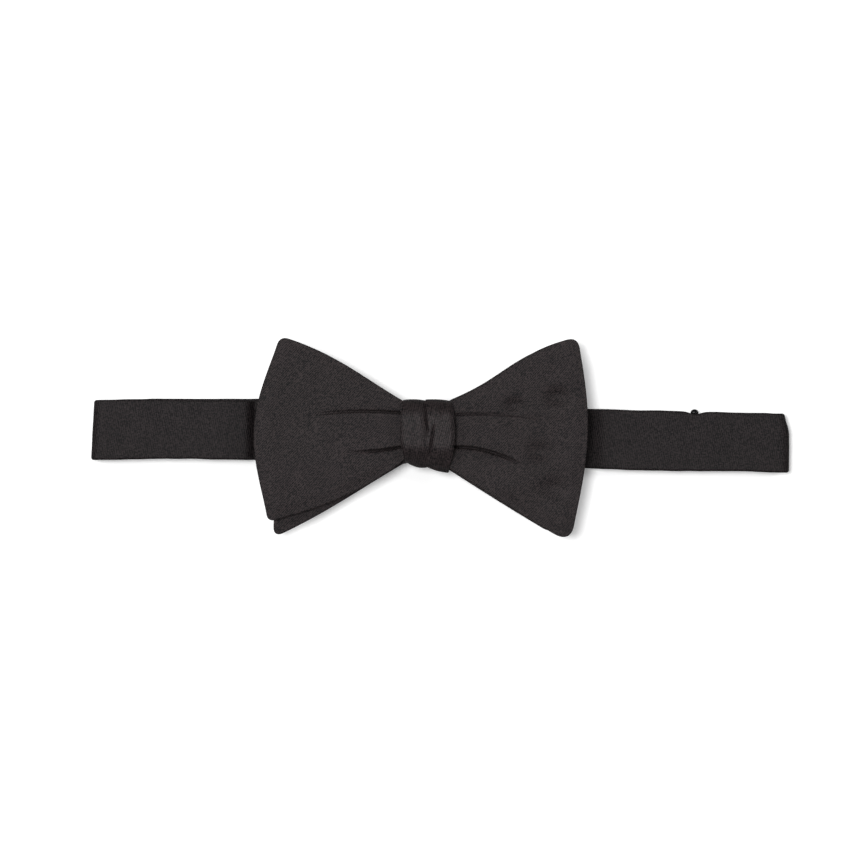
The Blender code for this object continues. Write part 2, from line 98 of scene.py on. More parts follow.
KNOT_LOW, KNOT_HIGH = node_box("knot_wrap")
# The bows' cloth lies a little lower than the middle of their CAD sheets.
FRONT_BOW_MID = (node_box("front_bow_back")[0][2] + BOW_HIGH[2]) / 2 - 0.45
REAR_BOW_MID = (node_box("rear_bow_back")[0][2] + REAR_HIGH[2]) / 2 - 0.7
NAPE_END_X = node_box("nape_band")[1][0]
WIRE_RADIUS = 0.6
CLASP_Y = middle_y("eye")
CLASP_Z = node_box("eye")[0][2] + WIRE_RADIUS
BAR_HEAD_RADIUS = 1.4
BAR_Z = node_box("slider_bar")[0][2] + BAR_HEAD_RADIUS
SLIDER_LOW, SLIDER_HIGH = node_box("slider_frame")
SLIDER_X = (SLIDER_LOW[0] + SLIDER_HIGH[0]) / 2
SLIDER_Y = (SLIDER_LOW[1] + SLIDER_HIGH[1]) / 2

# How far cloth bends to each side of a hinge, and how much of the strap belongs to a fold.
BEND_REACH = 8.0
FOLD_REACH = 4.0
# The lengths under the bow end here, always under a wing.
LEFT_SEAM_X = LEFT_HINGE_X - BEND_REACH - 5.0
RIGHT_SEAM_X = RIGHT_HINGE_X + BEND_REACH + 1.5

# Beside each wing the front layer dips towards the rear one: where it starts, and over what length.
# It rises again near the knot, from DIP_END beside the knot over DIP_END_LENGTH.
DIP_DEPTH = 2.6
LEFT_DIP = (BOW_LOW[0] - 3.2, 2.8)
RIGHT_DIP = (BOW_HIGH[0] + 7.4, 6.4)
DIP_END = 6.0
DIP_END_LENGTH = 14.0

# The rear layer lies this much higher than the front one, away from the folds.
REAR_LIFT = 0.5
REAR_LIFT_REACH = 30.0


# ---------------------------------------------------------------- materials


def node(tree, kind, **values):
    made = tree.nodes.new(kind)
    for key, value in values.items():
        setattr(made, key, value)
    return made


def start_material(name):
    made = bpy.data.materials.new(name)
    made.use_nodes = True
    tree = made.node_tree
    return made, tree, tree.nodes["Principled BSDF"]


def place(tree, scale, turn=0.0):
    """Object coordinates, scaled and turned about Z."""
    where = node(tree, "ShaderNodeTexCoord")
    moved = node(tree, "ShaderNodeMapping")
    moved.inputs["Scale"].default_value = scale
    moved.inputs["Rotation"].default_value = (0.0, 0.0, turn)
    tree.links.new(where.outputs["Object"], moved.inputs["Vector"])
    return moved.outputs["Vector"]


def bands(tree, period_mm, turn, distortion):
    """Straight threads of one period, turned about Z."""
    wave = node(tree, "ShaderNodeTexWave", wave_type="BANDS", bands_direction="X")
    wave.inputs["Scale"].default_value = 2 * pi / (20 * period_mm * MM)
    wave.inputs["Distortion"].default_value = distortion
    wave.inputs["Detail"].default_value = 1.0
    tree.links.new(place(tree, (1, 1, 1), turn), wave.inputs["Vector"])
    return wave.outputs["Fac"]


def speckle(tree, size_mm, detail, stretch=(1, 1, 1)):
    """Soft noise, its spots about the given size."""
    cloud = node(tree, "ShaderNodeTexNoise")
    cloud.inputs["Scale"].default_value = 1.0 / (size_mm * MM)
    cloud.inputs["Detail"].default_value = detail
    tree.links.new(place(tree, stretch), cloud.inputs["Vector"])
    return cloud.outputs["Fac"]


def blend_values(tree, first, second, share):
    mix = node(tree, "ShaderNodeMix", data_type="FLOAT")
    mix.inputs["Factor"].default_value = share
    tree.links.new(first, mix.inputs["A"])
    tree.links.new(second, mix.inputs["B"])
    return mix.outputs["Result"]


def ramp_colour(tree, value, dark, light, low=0.3, high=0.7):
    ramp = node(tree, "ShaderNodeValToRGB")
    ramp.color_ramp.elements[0].position = low
    ramp.color_ramp.elements[0].color = (*dark, 1.0)
    ramp.color_ramp.elements[1].position = high
    ramp.color_ramp.elements[1].color = (*light, 1.0)
    tree.links.new(value, ramp.inputs["Fac"])
    return ramp.outputs["Color"]


def spread(tree, value, low, high):
    """A value from 0 to 1, moved to run from low to high."""
    change = node(tree, "ShaderNodeMapRange")
    change.inputs["To Min"].default_value = low
    change.inputs["To Max"].default_value = high
    tree.links.new(value, change.inputs["Value"])
    return change.outputs["Result"]


def roughen(tree, shader, height, strength, distance):
    bump = node(tree, "ShaderNodeBump")
    bump.inputs["Strength"].default_value = strength
    bump.inputs["Distance"].default_value = distance
    tree.links.new(height, bump.inputs["Height"])
    tree.links.new(bump.outputs["Normal"], shader.inputs["Normal"])


def satin(name, dark, light, twill_turn, roughness=0.55, sheen=0.015, gloss=0.16):
    """Black silk satin: fine twill threads, slubs, and a broad soft gloss."""
    made, tree, shader = start_material(name)
    twill = bands(tree, 0.62, twill_turn, 1.4)
    cross = bands(tree, 0.45, twill_turn + pi / 2, 1.6)
    grain = speckle(tree, 0.5, 1.5)
    shade = speckle(tree, 7.0, 2.0)
    slub = speckle(tree, 2.6, 3.0, (1, 2, 1))
    weave = blend_values(tree, twill, cross, 0.4)
    mottle = blend_values(tree, grain, slub, 0.08)
    tone = blend_values(tree, blend_values(tree, weave, mottle, 0.75), shade, 0.07)
    tree.links.new(ramp_colour(tree, tone, dark, light, 0.445, 0.555), shader.inputs["Base Color"])
    tree.links.new(spread(tree, mottle, roughness - 0.1, roughness + 0.12), shader.inputs["Roughness"])
    shader.inputs["Sheen Weight"].default_value = sheen
    shader.inputs["Sheen Roughness"].default_value = 0.4
    shader.inputs["Sheen Tint"].default_value = (1.0, 0.93, 0.93, 1.0)
    shader.inputs["Specular IOR Level"].default_value = gloss
    roughen(tree, shader, blend_values(tree, weave, grain, 0.5), 1.0, 0.00018)
    return made


def thread_look(name, dark, light):
    """Twisted sewing thread."""
    made, tree, shader = start_material(name)
    twist = bands(tree, 0.35, 0.9, 0.3)
    tree.links.new(ramp_colour(tree, twist, dark, light), shader.inputs["Base Color"])
    shader.inputs["Roughness"].default_value = 0.65
    roughen(tree, shader, twist, 0.5, 0.00005)
    return made


def enamel_look(name, dark, light, metallic, roughness):
    """Small pressed hardware: enamel or plating with faint handling wear."""
    made, tree, shader = start_material(name)
    wear = speckle(tree, 0.9, 4.0)
    tree.links.new(ramp_colour(tree, wear, dark, light, 0.45, 0.8), shader.inputs["Base Color"])
    tree.links.new(spread(tree, wear, roughness - 0.1, roughness + 0.15), shader.inputs["Roughness"])
    shader.inputs["Metallic"].default_value = metallic
    shader.inputs["Specular IOR Level"].default_value = 0.5 if metallic else 0.12
    roughen(tree, shader, wear, 0.15, 0.00004)
    return made


BOW_SATIN = satin("bow_satin", (0.0012, 0.0010, 0.0016), (0.0310, 0.0238, 0.0240), 0.75)
KNOT_SATIN = satin(
    "knot_satin",
    (0.0012, 0.0009, 0.0012),
    (0.0300, 0.0220, 0.0226),
    -0.2,
    roughness=0.42,
    sheen=0.006,
    gloss=0.19,
)
BAND_SATIN = satin("band_satin", (0.0010, 0.0008, 0.0011), (0.0220, 0.0172, 0.0178), 0.15, gloss=0.15)
WEBBING = satin("strap_webbing", (0.0030, 0.0026, 0.0028), (0.0190, 0.0160, 0.0164), 0.0, roughness=0.6)
THREAD = thread_look("sewing_thread", (0.005, 0.005, 0.005), (0.02, 0.018, 0.018))
ENAMEL = enamel_look("black_enamel", (0.003, 0.003, 0.0035), (0.010, 0.010, 0.0105), 0.0, 0.3)
PLATE = enamel_look("dark_nickel", (0.10, 0.10, 0.105), (0.22, 0.22, 0.225), 1.0, 0.38)


# ---------------------------------------------------------------- meshes


def add_piece(name, points, faces, look):
    mesh = bpy.data.meshes.new(name)
    mesh.from_pydata((np.asarray(points) * MM).tolist(), [], faces)
    mesh.validate()
    mesh.polygons.foreach_set("use_smooth", [True] * len(mesh.polygons))
    mesh.materials.append(look)
    made = bpy.data.objects.new(name, mesh)
    bpy.context.scene.collection.objects.link(made)
    return made


def shell(name, upper, lower, look):
    """A closed cloth shell between two grids of points whose edges are joined by a rim."""
    rows, columns, _ = upper.shape
    layer = rows * columns
    points = np.concatenate([upper.reshape(-1, 3), lower.reshape(-1, 3)])
    index = np.arange(layer).reshape(rows, columns)
    a, b = index[:-1, :-1].ravel(), index[:-1, 1:].ravel()
    c, d = index[1:, 1:].ravel(), index[1:, :-1].ravel()
    faces = np.stack([a, b, c, d], 1).tolist()
    faces += (np.stack([d, c, b, a], 1) + layer).tolist()
    rim = list(index[0, :]) + list(index[1:, -1]) + list(index[-1, -2::-1]) + list(index[-2:0:-1, 0])
    for near, far in zip(rim, rim[1:] + rim[:1]):
        faces.append([int(far), int(near), int(near + layer), int(far + layer)])
    return add_piece(name, points, faces, look)


def ring_loft(name, rings, look):
    """A solid through rings of equal point count, with a sharp-edged cap at each end."""
    rings = np.asarray(rings)
    steps, count, _ = rings.shape
    faces = []
    for at in range(steps - 1):
        low = at * count
        high = low + count
        for k in range(count):
            after = (k + 1) % count
            faces.append([low + k, low + after, high + after, high + k])
    faces.append(list(range(count))[::-1])
    faces.append(list(range((steps - 1) * count, steps * count)))
    made = add_piece(name, rings.reshape(-1, 3), faces, look)
    ends = np.empty(len(made.data.edges) * 2, dtype=int)
    made.data.edges.foreach_get("vertices", ends)
    ends = ends.reshape(-1, 2)
    capped = np.all(ends < count, axis=1) | np.all(ends >= (steps - 1) * count, axis=1)
    sharp = made.data.attributes.new("sharp_edge", "BOOLEAN", "EDGE")
    sharp.data.foreach_set("value", capped)
    return made


def smooth(t):
    """A soft step from 0 to 1."""
    t = np.clip(t, 0.0, 1.0)
    return t * t * (3 - 2 * t)


def ripple(points, size, seed):
    """Soft noise at each point, about -1 to 1."""
    shift = Vector((seed * 7.3, seed * 3.1, seed * 1.7))
    return np.array([noise.noise(Vector(p) / size + shift) for p in points])


# ---------------------------------------------------------------- neckband


def centre_y(x):
    """Centre line of the front layer: level on the left, falling to the right."""
    return np.interp(x, [BOW_LOW[0], RIGHT_HINGE_X, RIGHT_FOLD_X], [LEFT_Y, RIGHT_HINGE_Y, RIGHT_Y])


def rear_y(x):
    """Centre line of the rear layer, a little higher than the front one away from the folds."""
    lift = np.clip(min(x - LEFT_FOLD_X, RIGHT_FOLD_X - x) / REAR_LIFT_REACH, 0.0, 1.0)
    return centre_y(x) + REAR_LIFT * lift


def front_centre(share, x):
    return centre_y(x)


def rear_centre(share, x):
    return rear_y(x)


def front_z(x):
    """Mid-height of the front layer, which dips where the wings' edges press over it."""
    start, reach = LEFT_DIP if x < 0 else RIGHT_DIP
    dip = smooth(abs(x - start) / reach) if abs(x) < abs(start) else 0.0
    rise = smooth((abs(x) - KNOT_HIGH[0] - DIP_END) / DIP_END_LENGTH)
    return FRONT_MID - DIP_DEPTH * float(dip * rise)


def strip_section(width, thickness):
    """Cross-section of a pressed flat tube: (sideways, out) pairs, with rolled edges."""
    sides, across = 12, 26
    crown_height, belly_height, full_thickness = 0.12, 0.05, 1.8
    groove_depth, groove_inset, groove_width = 0.10, 2.4, 0.8
    half = width / 2
    roll = thickness / 2
    outline = []
    for k in range(across + 1):
        y = -half + roll + (width - 2 * roll) * k / across
        groove = groove_depth * np.exp(-((abs(y) - half + groove_inset) / groove_width) ** 2)
        crown = crown_height * (1 - (y / half) ** 2) - groove
        outline.append((y, roll + crown * thickness / full_thickness))
    for k in range(1, sides):
        angle = pi / 2 - pi * k / sides
        outline.append((half - roll + roll * cos(angle), roll * sin(angle)))
    for k in range(across + 1):
        y = half - roll - (width - 2 * roll) * k / across
        outline.append((y, -roll - belly_height * (1 - (y / half) ** 2)))
    for k in range(1, sides):
        angle = -pi / 2 - pi * k / sides
        outline.append((-half + roll + roll * cos(angle), roll * sin(angle)))
    return np.array(outline)


def straight(x_from, x_to, z, step=1.6):
    """Level points from one place to another, about a step apart."""
    count = max(2, int(abs(x_to - x_from) / step))
    return [(x_from + (x_to - x_from) * k / count, z) for k in range(count + 1)]


def arc(centre_x, centre_z, radius, start, end, steps):
    angles = [(start + (end - start) * k / steps) * pi / 180 for k in range(steps + 1)]
    return [(centre_x + radius * cos(a), centre_z + radius * sin(a)) for a in angles]


def front_line(x_from, x_to, step=1.0):
    """The front layer's mid-line with its dips, from one place to another."""
    return [(x, front_z(x)) for x, _ in straight(x_from, x_to, FRONT_MID, step)]


def edge_wave(x, seed):
    """How far a pressed edge wanders from its straight line, at a place along the strap."""
    slow = noise.noise(Vector((x / 24.0, seed * 5.1, 0.3)))
    quick = noise.noise(Vector((x / 6.0, seed * 2.7, 0.9)))
    return 0.50 * slow + 0.13 * quick


def dot_notch(x, z):
    """The strap's upper edge gives way a little over the round end of the slider."""
    depth, reach = 1.1, 2.6
    if z <= SLIDER_HIGH[2]:
        return 0.0
    return -depth * float(np.exp(-(((x - SLIDER_X) / reach) ** 2)))


def band(name, path, y_of, width, thickness, look, wander=0.12, seed=1, gather=None, end_shift=None):
    """Flat cloth tube along a path in the XZ plane.

    y_of gives its centre line, gather its narrowing, end_shift how its edges run ahead or lag behind,
    and wander how uneven its faces are. A narrow or very even tube keeps straight edges.
    """
    wide_ripple, fine_ripple = 9.0, 3.0
    section = strip_section(width, thickness)
    across = section[:, 0] / (width / 2)
    spots = np.array(path)
    along = np.gradient(spots, axis=0)
    along /= np.linalg.norm(along, axis=1)[:, None]
    rings = []
    for at, (x, z) in enumerate(spots):
        out = np.array([-along[at][1], along[at][0]])
        narrow = gather(x) if gather else 1.0
        y = y_of(at / (len(spots) - 1), x)
        loose = min(1.0, width / 20.0) ** 4 if wander > 0.04 else 0.0
        upper = edge_wave(x, seed) * loose + dot_notch(x, z)
        lower = edge_wave(x, seed + 9) * loose
        ring = np.empty((len(section), 3))
        ring[:, 0] = x + out[0] * section[:, 1]
        if end_shift:
            ring[:, 0] += end_shift(x, across)
        ring[:, 1] = y + section[:, 0] * narrow
        ring[:, 1] += upper * np.clip(across, 0, 1) ** 2 + lower * np.clip(-across, 0, 1) ** 2
        ring[:, 2] = z + out[1] * section[:, 1]
        rings.append(ring)
    rings = np.array(rings)
    flat = rings.reshape(-1, 3)
    push = ripple(flat * (1, 0.7, 1), wide_ripple, seed) * wander
    push += ripple(flat * (0.35, 1.2, 1), fine_ripple, seed + 4) * wander * 0.35
    out = np.stack([-along[:, 1], 0 * along[:, 0], along[:, 0]], 1)
    push = push.reshape(rings.shape[:2])[..., None]
    rings = rings + np.repeat(out, len(section), 0).reshape(rings.shape) * push
    made = ring_loft(name, rings, look)
    return made


def strap(side, lengths, centre_lines, seed, end_shift):
    """One side's strap in three lengths: front layer, fold and rear layer."""
    parts = []
    for part, path, line in zip(("front", "fold", "rear"), lengths, centre_lines):
        name = side + "_" + part + "_cloth"
        size = (BAND_WIDTH, BAND_THICKNESS)
        parts.append(band(name, path, line, *size, BAND_SATIN, seed=seed, end_shift=end_shift))
    front, fold, rear = parts
    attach(front, side + "_front_strap")
    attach(rear, side + "_rear_strap")
    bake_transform(fold)
    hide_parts(side + "_front_band", side + "_front_band_interlining")
    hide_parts(side + "_fold")
    return rear


def left_band():
    middle = (FRONT_MID + REAR_MID) / 2
    radius = (FRONT_MID - REAR_MID) / 2
    turn_x = LEFT_FOLD_X + FOLD_REACH
    turn = front_line(turn_x, LEFT_FOLD_X + 1) + arc(LEFT_FOLD_X, middle, radius, 90, 270, 24)
    turn += straight(LEFT_FOLD_X + 1, turn_x, REAR_MID, 1.0)
    lengths = (front_line(LEFT_SEAM_X, turn_x), turn, straight(turn_x, LEFT_SEAM_X, REAR_MID))

    def fold_y(share, x):
        return centre_y(x) + (rear_y(x) - centre_y(x)) * smooth(share)

    def end_shift(x, across):
        """The folded end leans a little to the right at its top."""
        return 0.55 * across * float(smooth((LEFT_FOLD_X + 9.0 - x) / 9.0))

    lines = (front_centre, fold_y, rear_centre)
    rear = strap("left", lengths, lines, 2, end_shift)
    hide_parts("left_rear_band", "left_rear_band_interlining")


def right_band():
    rear_end = node_box("right_rear_band")[0][0]
    middle = (FRONT_MID + RIGHT_REAR_MID) / 2
    radius = (FRONT_MID - RIGHT_REAR_MID) / 2
    turn_x = RIGHT_FOLD_X - FOLD_REACH
    turn = straight(turn_x, RIGHT_FOLD_X - 1, RIGHT_REAR_MID, 1.0)
    turn += arc(RIGHT_FOLD_X, middle, radius, -90, 90, 24) + front_line(RIGHT_FOLD_X - 1, turn_x)
    lengths = (front_line(turn_x, RIGHT_SEAM_X), turn, straight(rear_end, turn_x, RIGHT_REAR_MID))

    def end_shift(x, across):
        """The folded end's upper corner is drawn in."""
        return -1.5 * smooth((across - 0.2) / 0.8) ** 1.3 * float(smooth((x - RIGHT_FOLD_X + 6.0) / 6.0))

    rear = strap("right", lengths, (front_centre,) * 3, 5, end_shift)
    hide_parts("right_rear_band")


def centre_band():
    """The strap under the bow, in two lengths that meet inside the knot."""

    def gather(x):
        """The knot squeezes the band's width; the squeeze fades out beside it."""
        squeeze, half_knot, fade = 0.22, 9.0, 9.0
        return 1.0 - squeeze * (1 - float(smooth((abs(x) - half_knot) / fade)))

    sides = (
        ("left", LEFT_SEAM_X, 0.0, LEFT_HINGE_X, "left_front_strap", hinges["left_wing_bend"][2]),
        ("right", 0.0, RIGHT_SEAM_X, RIGHT_HINGE_X, "right_front_strap", hinges["right_wing_bend"][2]),
    )
    for side, low, high, hinge, strap_body, pivot_z in sides:
        made = band(
            side + "_centre_band",
            front_line(low, high),
            front_centre,
            BAND_WIDTH,
            BAND_THICKNESS,
            BAND_SATIN,
            wander=0.05,
            seed=8,
            gather=gather,
        )
        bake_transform(made)
        if side == "left":
            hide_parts("centre_band", "centre_band_interlining")


def nape_band():
    path = straight(LEFT_SEAM_X, NAPE_END_X, REAR_MID, 1.0)
    size = (BAND_WIDTH, BAND_THICKNESS)
    made = band("nape_cloth", path, rear_centre, *size, BAND_SATIN, wander=0.05, seed=9)
    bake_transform(made)
    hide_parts("nape_band", "nape_band_interlining")


# ---------------------------------------------------------------- bows


def polyline_at(points, shares):
    """Points of a polyline at the given shares of its length."""
    points = np.asarray(points, float)
    steps = np.r_[0, np.cumsum(np.linalg.norm(np.diff(points, axis=0), axis=1))]
    where = np.asarray(shares) * steps[-1]
    return np.stack([np.interp(where, steps, points[:, k]) for k in range(2)], 1)


def swollen_edge(start, end, swell, peak, sharp=1.0, curl=0.0):
    """A line that swells to its left, most at share peak.

    curl hollows its first half and fills its second.
    """
    start, end = np.array(start, float), np.array(end, float)
    chord = end - start
    side = np.array([-chord[1], chord[0]]) / np.linalg.norm(chord)
    t = np.linspace(0, 1, 60)
    power = np.log(0.5) / np.log(peak)
    hump = swell * np.sin(pi * t**power) ** sharp - curl * np.sin(2 * pi * t)
    return start + t[:, None] * chord + hump[:, None] * side


def trim(points, distance, from_end):
    """Cut a length off one end of a polyline; returns the rest."""
    points = points[::-1] if from_end else points
    steps = np.r_[0, np.cumsum(np.linalg.norm(np.diff(points, axis=0), axis=1))]
    shares = np.linspace(distance / steps[-1], 1, len(points))
    rest = polyline_at(points, shares)
    return rest[::-1] if from_end else rest


def half_corner(start, corner, end):
    """The rounding between two edges, as its two halves that meet in its middle."""
    t = np.linspace(0, 1, 17)[:, None]
    curve = (1 - t) ** 2 * start + 2 * t * (1 - t) * corner + t**2 * end
    return curve[:9], curve[8:]


def wing_grid(wing, across, along):
    """Points of one wing between its four rounded edges: along from the knot, across upwards."""
    inner_top, inner_bottom = np.array(wing["inner_top"]), np.array(wing["inner_bottom"])
    top, bottom = np.array(wing["top"], float), np.array(wing["bottom"], float)
    side = 1.0 if top[0] > 0 else -1.0
    curl = side * wing.get("top_curl", 0.0)
    upper = swollen_edge(inner_top, top, side * wing["top_swell"], wing["top_peak"], 1.0, curl)
    lower = swollen_edge(inner_bottom, bottom, -side * wing["bottom_swell"], wing["bottom_peak"])
    sharp = wing.get("outer_sharp", 1.0)
    outer = swollen_edge(bottom, top, -side * wing["outer_swell"], wing["outer_peak"], sharp)
    r_top, r_bottom = wing["corner_top"], wing["corner_bottom"]
    upper = trim(upper, r_top, True)
    lower = trim(lower, r_bottom, True)
    outer = trim(trim(outer, r_top, True), r_bottom, False)
    top_first, top_last = half_corner(upper[-1], top, outer[-1])
    low_first, low_last = half_corner(lower[-1], bottom, outer[0])
    upper = np.concatenate([upper, top_first[1:]])
    lower = np.concatenate([lower, low_first[1:]])
    outer = np.concatenate([low_last, outer[1:-1], top_last[::-1]])
    v = (across + 1) / 2
    t_line, b_line = polyline_at(upper, along), polyline_at(lower, along)
    o_line = polyline_at(outer, v)
    i_line = inner_bottom + v[:, None] * (inner_top - inner_bottom)
    u, w = along[None, :, None], v[:, None, None]
    patch = (1 - w) * b_line[None] + w * t_line[None] + (1 - u) * i_line[:, None] + u * o_line[:, None]
    corners = (1 - u) * (1 - w) * inner_bottom + (1 - u) * w * inner_top
    corners = corners + u * (1 - w) * b_line[-1] + u * w * t_line[-1]
    return patch - corners


# Each wing's corners, how far its three free edges swell and where most, and how round its corners are.
INNER_X = 8.6
FRONT_WINGS = (
    {
        "inner_top": (-INNER_X, 12.2),
        "inner_bottom": (-INNER_X, -8.4),
        "top": (BOW_LOW[0] + 8.6, BOW_HIGH[1] + 1.3),
        "bottom": (BOW_LOW[0] + 4.5, BOW_LOW[1] + 4.5),
        "top_swell": 1.8,
        "top_peak": 0.6,
        "bottom_swell": 2.9,
        "bottom_peak": 0.45,
        "outer_swell": 6.7,
        "outer_peak": 0.5,
        "outer_sharp": 1.25,
        "corner_top": 3.7,
        "corner_bottom": 3.0,
    },
    {
        "inner_top": (INNER_X, 12.3),
        "inner_bottom": (INNER_X, -11.9),
        "top": (BOW_HIGH[0] - 3.0, BOW_HIGH[1] + 0.9),
        "bottom": (BOW_HIGH[0] - 5.4, BOW_LOW[1] - 2.9),
        "top_swell": 1.5,
        "top_peak": 0.55,
        "top_curl": 0.8,
        "bottom_swell": 0.4,
        "bottom_peak": 0.6,
        "outer_swell": 4.5,
        "outer_peak": 0.53,
        "outer_sharp": 1.12,
        "corner_top": 4.2,
        "corner_bottom": 7.0,
    },
)
REAR_WINGS = (
    {
        "inner_top": (-INNER_X, 11.8),
        "inner_bottom": (-INNER_X, -9.6),
        "top": (REAR_LOW[0] + 7.5, REAR_HIGH[1] - 2.0),
        "bottom": (REAR_LOW[0] + 0.7, REAR_LOW[1] - 1.8),
        "top_swell": 0.6,
        "top_peak": 0.5,
        "bottom_swell": 0.8,
        "bottom_peak": 0.62,
        "outer_swell": 1.0,
        "outer_peak": 0.5,
        "corner_top": 4.0,
        "corner_bottom": 4.4,
    },
    {
        "inner_top": (INNER_X, 12.9),
        "inner_bottom": (INNER_X, -12.5),
        "top": (REAR_HIGH[0] - 2.5, REAR_HIGH[1] + 0.2),
        "bottom": (REAR_HIGH[0] - 6.0, REAR_LOW[1] - 0.8),
        "top_swell": 1.0,
        "top_peak": 0.6,
        "top_curl": 0.6,
        "bottom_swell": 0.2,
        "bottom_peak": 0.5,
        "outer_swell": 3.0,
        "outer_peak": 0.5,
        "corner_top": 4.0,
        "corner_bottom": 5.0,
    },
)

# Pleat folds: start height beside the knot, slope, curve, depth, and where each starts and stops fading.
PLEATS = {
    -1: (
        {"y": 7.8, "slope": 0.092, "curve": -0.0038, "depth": 1.25, "fade": (14.0, 34.0), "up": 1},
        {"y": -3.6, "slope": -0.194, "curve": 0.0054, "depth": 1.9, "fade": (2.0, 20.0), "up": -1},
    ),
    1: (
        {"y": 7.2, "slope": 0.058, "curve": -0.0035, "depth": 0.6, "fade": (14.0, 44.0), "up": 1},
        {"y": -3.6, "slope": 0.017, "curve": -0.0126, "depth": 2.4, "fade": (13.0, 25.0), "up": -1},
    ),
}
# Shallow hollows pressed into the wings, a bulge where the depth is negative: x, y, depth, size.
DIMPLES = (
    (29.5, 10.6, 1.5, 2.2),
    (44.5, 13.5, 1.9, 2.9),
    (38.5, -5.5, 1.8, 3.0),
    (43.0, -18.0, 1.5, 3.4),
    (29.0, -16.0, -0.9, 4.0),
    (-44.0, 2.0, 0.3, 9.0),
)


def pleats(x, y):
    """Height of the box pleat: its panel stands over the cloth above and below it."""
    height = np.zeros_like(x)
    for side, lines in PLEATS.items():
        out = side * x - KNOT_HIGH[0]
        here = smooth(side * x / 4.0)
        for line in lines:
            reach = np.maximum(out, 0.0)
            fold = line["y"] + line["slope"] * reach + line["curve"] * reach * reach
            away = (y - fold) * line["up"]
            start, stop = line["fade"]
            depth = line["depth"] * (1 - smooth((reach - start) / (stop - start))) * here
            outside = smooth(away / 0.55 + 0.5)
            dip = -0.68 * np.exp(-np.maximum(away, 0) / 3.6)
            rise = 0.32 * np.exp(-np.maximum(-away, 0) / 3.4)
            groove = -1.0 * np.exp(-(((away - 0.1) / 0.34) ** 2))
            height += depth * (outside * dip + (1 - outside) * rise + groove)
    return height


def folds_and_dimples(x, y, from_knot):
    """Everything that stands out of the front bow's face: pleats, gathers and hollows."""
    fan = np.arctan2(y - 2.0, np.abs(x) - 2.0)
    folds = pleats(x, y)
    folds += 0.07 * np.exp(-from_knot / 4.0) * np.cos(fan * 17.0 + 0.6 * np.sign(x))
    for spot_x, spot_y, depth, size in DIMPLES:
        folds -= depth * np.exp(-((x - spot_x) ** 2 + 1.6 * (y - spot_y) ** 2) / (2 * size * size))
    return folds


def bow(name, wings, base_z, pleated):
    """One bow as a closed shell: puffy cloth with pressed, turned edges and pleats at the knot."""
    rows, columns = 190, 100
    across = np.sin(pi / 2 * np.linspace(-1, 1, rows))
    across = 0.5 * across + 0.5 * np.sign(across) * np.abs(across) ** 1.15
    along = np.sin(pi / 2 * np.linspace(0, 1, columns)) ** 1.1
    left = wing_grid(wings[0], across, along)
    right = wing_grid(wings[1], across, along)
    share = np.linspace(0, 1, 14)[1:-1][None, :, None]
    waist = left[:, :1] * (1 - share) + right[:, :1] * share
    waist[:, :, 1] *= 1 - 0.2 * np.sin(pi * share[:, :, 0])
    grid = np.concatenate([left[:, ::-1], waist, right], axis=1)
    x, y = grid[..., 0], grid[..., 1]

    edges = (grid[:1], grid[-1:], grid[:, :1], grid[:, -1:])
    gap = np.min([np.linalg.norm(grid - edge, axis=2) for edge in edges], axis=0)
    # Half the thickness: a rolled edge, then a soft puff.
    roll_radius, edge_half, puff = 0.6, 0.5, 0.5
    roll = np.sqrt(np.clip(1 - (1 - np.clip(gap / roll_radius, 0, 1)) ** 2, 0, 1))
    half = edge_half * roll + puff * smooth((gap - 0.4) / 4.5)

    from_knot = np.maximum(np.abs(x) - KNOT_HIGH[0], 0.0)
    flat = np.stack([x, y, 0 * x], 2).reshape(-1, 3)
    waves = ripple(flat * (0.6, 1.0, 1), 13.0, 3).reshape(x.shape) * 0.5
    waves += ripple(flat * (1.0, 0.8, 1), 6.0, 6).reshape(x.shape) * 0.17
    waves *= smooth(gap / 8.0) * 0.7 + 0.3
    tip_lift, wing_length = 1.2, 45.0
    lift = tip_lift * (from_knot / wing_length) ** 2
    middle = base_z + lift + waves * (1.0 if pleated else 0.6)
    folds = 0 * x
    if pleated:
        folds = folds_and_dimples(x, y, from_knot) * smooth(gap / 1.6)
    inside = smooth((KNOT_HIGH[0] - np.abs(x)) / 3.0)
    upper = np.stack([x, y, middle + half + folds * (1 - 0.6 * inside)], 2)
    lower = np.stack([x, y, middle - half + 0.3 * folds * (1 - inside)], 2)
    made = shell(name, upper, lower, BOW_SATIN)
    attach(made, "bow")
    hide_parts(name + "_face", name + "_interlining", name + "_back")


# ---------------------------------------------------------------- knot


def knot_edge_top(x):
    """How high the knot's upper edge reaches: two lobes."""
    lobes = np.where(x < -0.9, -((x + 5.2) / 4.6) ** 2, -((x - 1.6) / 6.0) ** 2)
    return 12.2 + 0.5 * (1 + np.clip(lobes, -1.6, 0))


def knot_edge_bottom(x):
    """How low the knot's lower edge reaches: two lobes on a slant."""
    slant = 10.9 + 0.19 * x
    lobes = np.where(x < -0.4, -((x + 3.4) / 3.0) ** 2, -((x - 4.6) / 4.4) ** 2)
    return slant + 0.55 * (1 + np.clip(lobes, -1.5, 0)) - 0.8 * smooth((np.abs(x) - 6.5) / 3.0)


